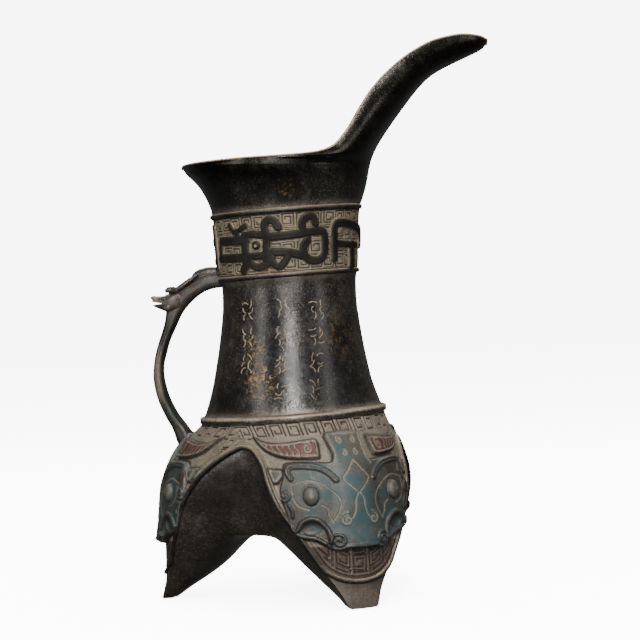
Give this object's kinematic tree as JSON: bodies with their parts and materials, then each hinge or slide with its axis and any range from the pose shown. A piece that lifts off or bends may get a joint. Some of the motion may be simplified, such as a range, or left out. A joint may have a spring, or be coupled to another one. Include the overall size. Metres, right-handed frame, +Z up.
{
  "type": "jue_wine_vessel",
  "caption": "Spouted bronze ewer with hollow pouch legs, a flared mouth, an upswept channel spout, a dragon-headed handle and cast beast-mask relief.",
  "frame": {"origin": "middle of the bounding box at the level of the feet", "axes": "+Z up, +X toward the spout, -X toward the handle, mirrored about the XZ plane"},
  "size_m": [0.1598, 0.1204, 0.248],
  "materials": {
    "bronze": "dark patinated cast bronze"
  },
  "bodies": {
    "root": {"jue_vessel": "bronze"}
  },
  "joints": []
}
